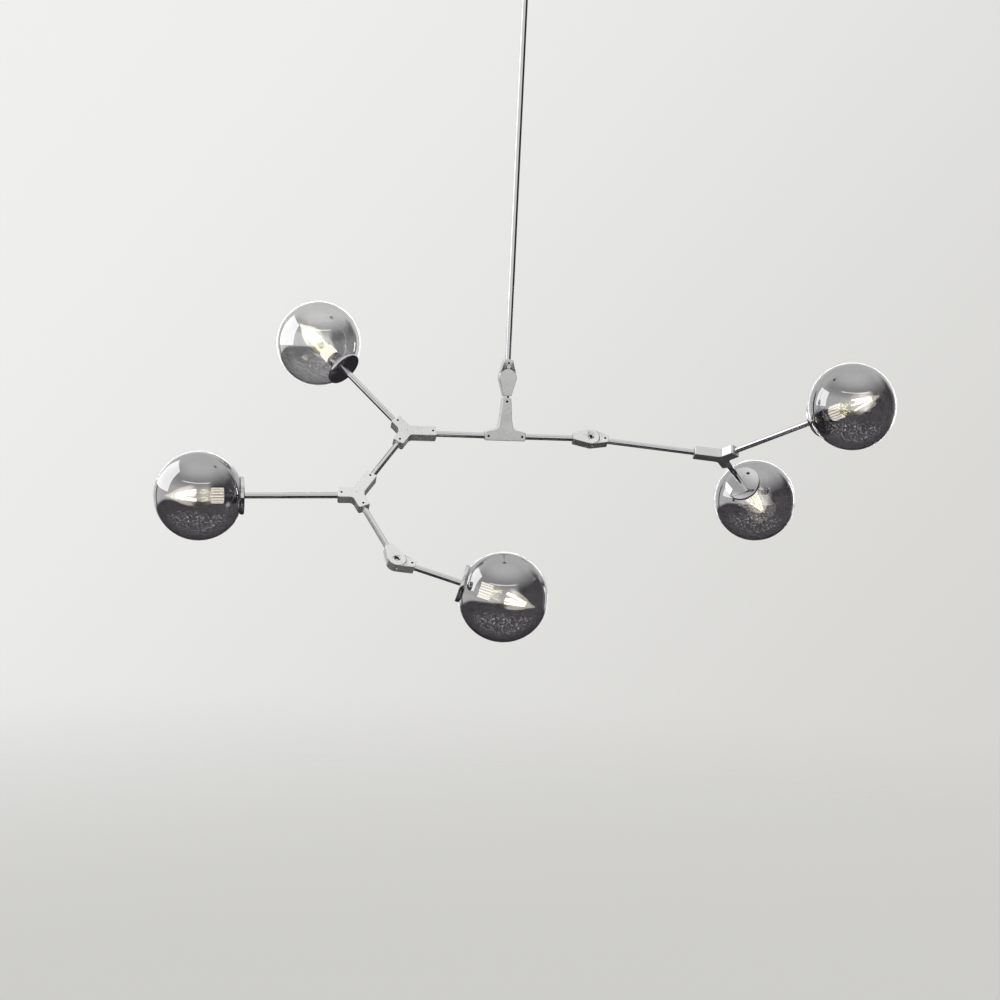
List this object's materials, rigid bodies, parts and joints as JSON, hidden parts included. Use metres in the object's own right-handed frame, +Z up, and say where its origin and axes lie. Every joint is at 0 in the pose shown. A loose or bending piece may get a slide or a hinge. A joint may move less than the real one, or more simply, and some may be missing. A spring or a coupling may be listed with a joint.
{
  "type": "branch chandelier",
  "caption": "Chrome branch chandelier: a stem with a hinged tee, forked arms and candle bulbs inside smoked glass globes.",
  "frame": {"origin": "middle of the ceiling bracket's top face, which lies on the ceiling", "axes": "+Z up to the ceiling, the row of ceiling screws along X, -Y towards the front, where the camera stood"},
  "size_m": [1.2003, 0.5865, 1.1818],
  "materials": {
    "chrome": "polished",
    "smoked_glass": "smoked, half mirrored",
    "clear_glass": "clear",
    "screw_steel": "blackened",
    "zinc_plate": "zinc plated",
    "turned_brass": "turned",
    "block_plastic": "moulded"
  },
  "bodies": {
    "ceiling_set": {"ceiling_bracket": "zinc_plate", "canopy": "chrome", "canopy_nuts": "chrome", "swivel_bush": "turned_brass", "bush_nut": "turned_brass", "terminal_block": "block_plastic"},
    "stem": {"stem_collar": "turned_brass", "stem_upper": "chrome", "stem_coupling": "turned_brass", "stem_lower": "chrome", "stem_hinge_upper": "chrome", "stem_screw": "screw_steel"},
    "hub": {"stem_hinge_lower": "chrome", "hub_stub": "chrome", "tee": "chrome", "hub_screws": "screw_steel"},
    "left_branch": {"left_arm": "chrome", "left_fork": "chrome", "left_fork_screws": "screw_steel", "lamp_1_arm": "chrome", "lamp_1_cap": "chrome", "lamp_1_holder": "chrome", "lamp_1_bulb": "clear_glass", "lamp_1_globe": "smoked_glass"},
    "second_branch": {"lower_link": "chrome", "second_fork": "chrome", "second_fork_screws": "screw_steel", "lamp_2_arm": "chrome", "lamp_2_cap": "chrome", "lamp_2_holder": "chrome", "lamp_2_bulb": "clear_glass", "lamp_2_globe": "smoked_glass"},
    "drop_branch": {"drop_arm": "chrome", "drop_hinge_upper": "chrome", "drop_screw": "screw_steel"},
    "lamp_3_branch": {"drop_hinge_lower": "chrome", "drop_hinge_screws": "screw_steel", "lamp_3_arm": "chrome", "lamp_3_cap": "chrome", "lamp_3_holder": "chrome", "lamp_3_bulb": "clear_glass", "lamp_3_globe": "smoked_glass"},
    "right_branch": {"right_arm": "chrome", "right_hinge_inner": "chrome", "right_screw": "screw_steel"},
    "right_knuckle": {"right_hinge_outer": "chrome", "right_hinge_screws": "screw_steel"},
    "fork_branch": {"right_link": "chrome", "right_fork": "chrome", "right_fork_screws": "screw_steel", "lamp_4_arm": "chrome", "lamp_4_cap": "chrome", "lamp_4_holder": "chrome", "lamp_4_bulb": "clear_glass", "lamp_4_globe": "smoked_glass", "lamp_5_arm": "chrome", "lamp_5_cap": "chrome", "lamp_5_holder": "chrome", "lamp_5_bulb": "clear_glass", "lamp_5_globe": "smoked_glass"}
  },
  "joints": [
    {"name": "stem_swivel", "type": "hinge", "parent": "ceiling_set", "child": "stem", "pos_m": [0, 0, -0.014], "axis": [0, 0, 1], "range_deg": [-170, 170]},
    {"name": "stem_hinge", "type": "hinge", "parent": "stem", "child": "hub", "pos_m": [0, 0, -0.77], "axis": [0.2079, -0.9781, 0], "range_deg": [-65, 65]},
    {"name": "left_twist", "type": "hinge", "parent": "hub", "child": "left_branch", "pos_m": [0, 0, -0.869], "axis": [-0.9781, -0.2079, 0], "range_deg": [-90, 90]},
    {"name": "second_twist", "type": "hinge", "parent": "left_branch", "child": "second_branch", "pos_m": [-0.16433, -0.03493, -0.869], "axis": [-0.4329, -0.6878, -0.5827], "range_deg": [-90, 90]},
    {"name": "drop_twist", "type": "hinge", "parent": "second_branch", "child": "drop_branch", "pos_m": [-0.23662, -0.14979, -0.96632], "axis": [0.4931, -0.6008, -0.6292], "range_deg": [-90, 90]},
    {"name": "drop_hinge", "type": "hinge", "parent": "drop_branch", "child": "lamp_3_branch", "pos_m": [-0.16314, -0.2393, -1.06007], "axis": [0.2196, -0.6139, 0.7583], "range_deg": [-115, 15]},
    {"name": "right_twist", "type": "hinge", "parent": "hub", "child": "right_branch", "pos_m": [0, 0, -0.869], "axis": [0.9781, 0.2079, 0], "range_deg": [-90, 90]},
    {"name": "right_hinge", "type": "hinge", "parent": "right_branch", "child": "right_knuckle", "pos_m": [0.14574, 0.03098, -0.869], "axis": [0.1638, -0.7708, 0.6157], "range_deg": [-58, 71]},
    {"name": "fork_twist", "type": "hinge", "parent": "right_knuckle", "child": "fork_branch", "pos_m": [0.37556, 0.06323, -0.88979], "axis": [0.9864, 0.1384, -0.0892], "range_deg": [-90, 90]}
  ]
}
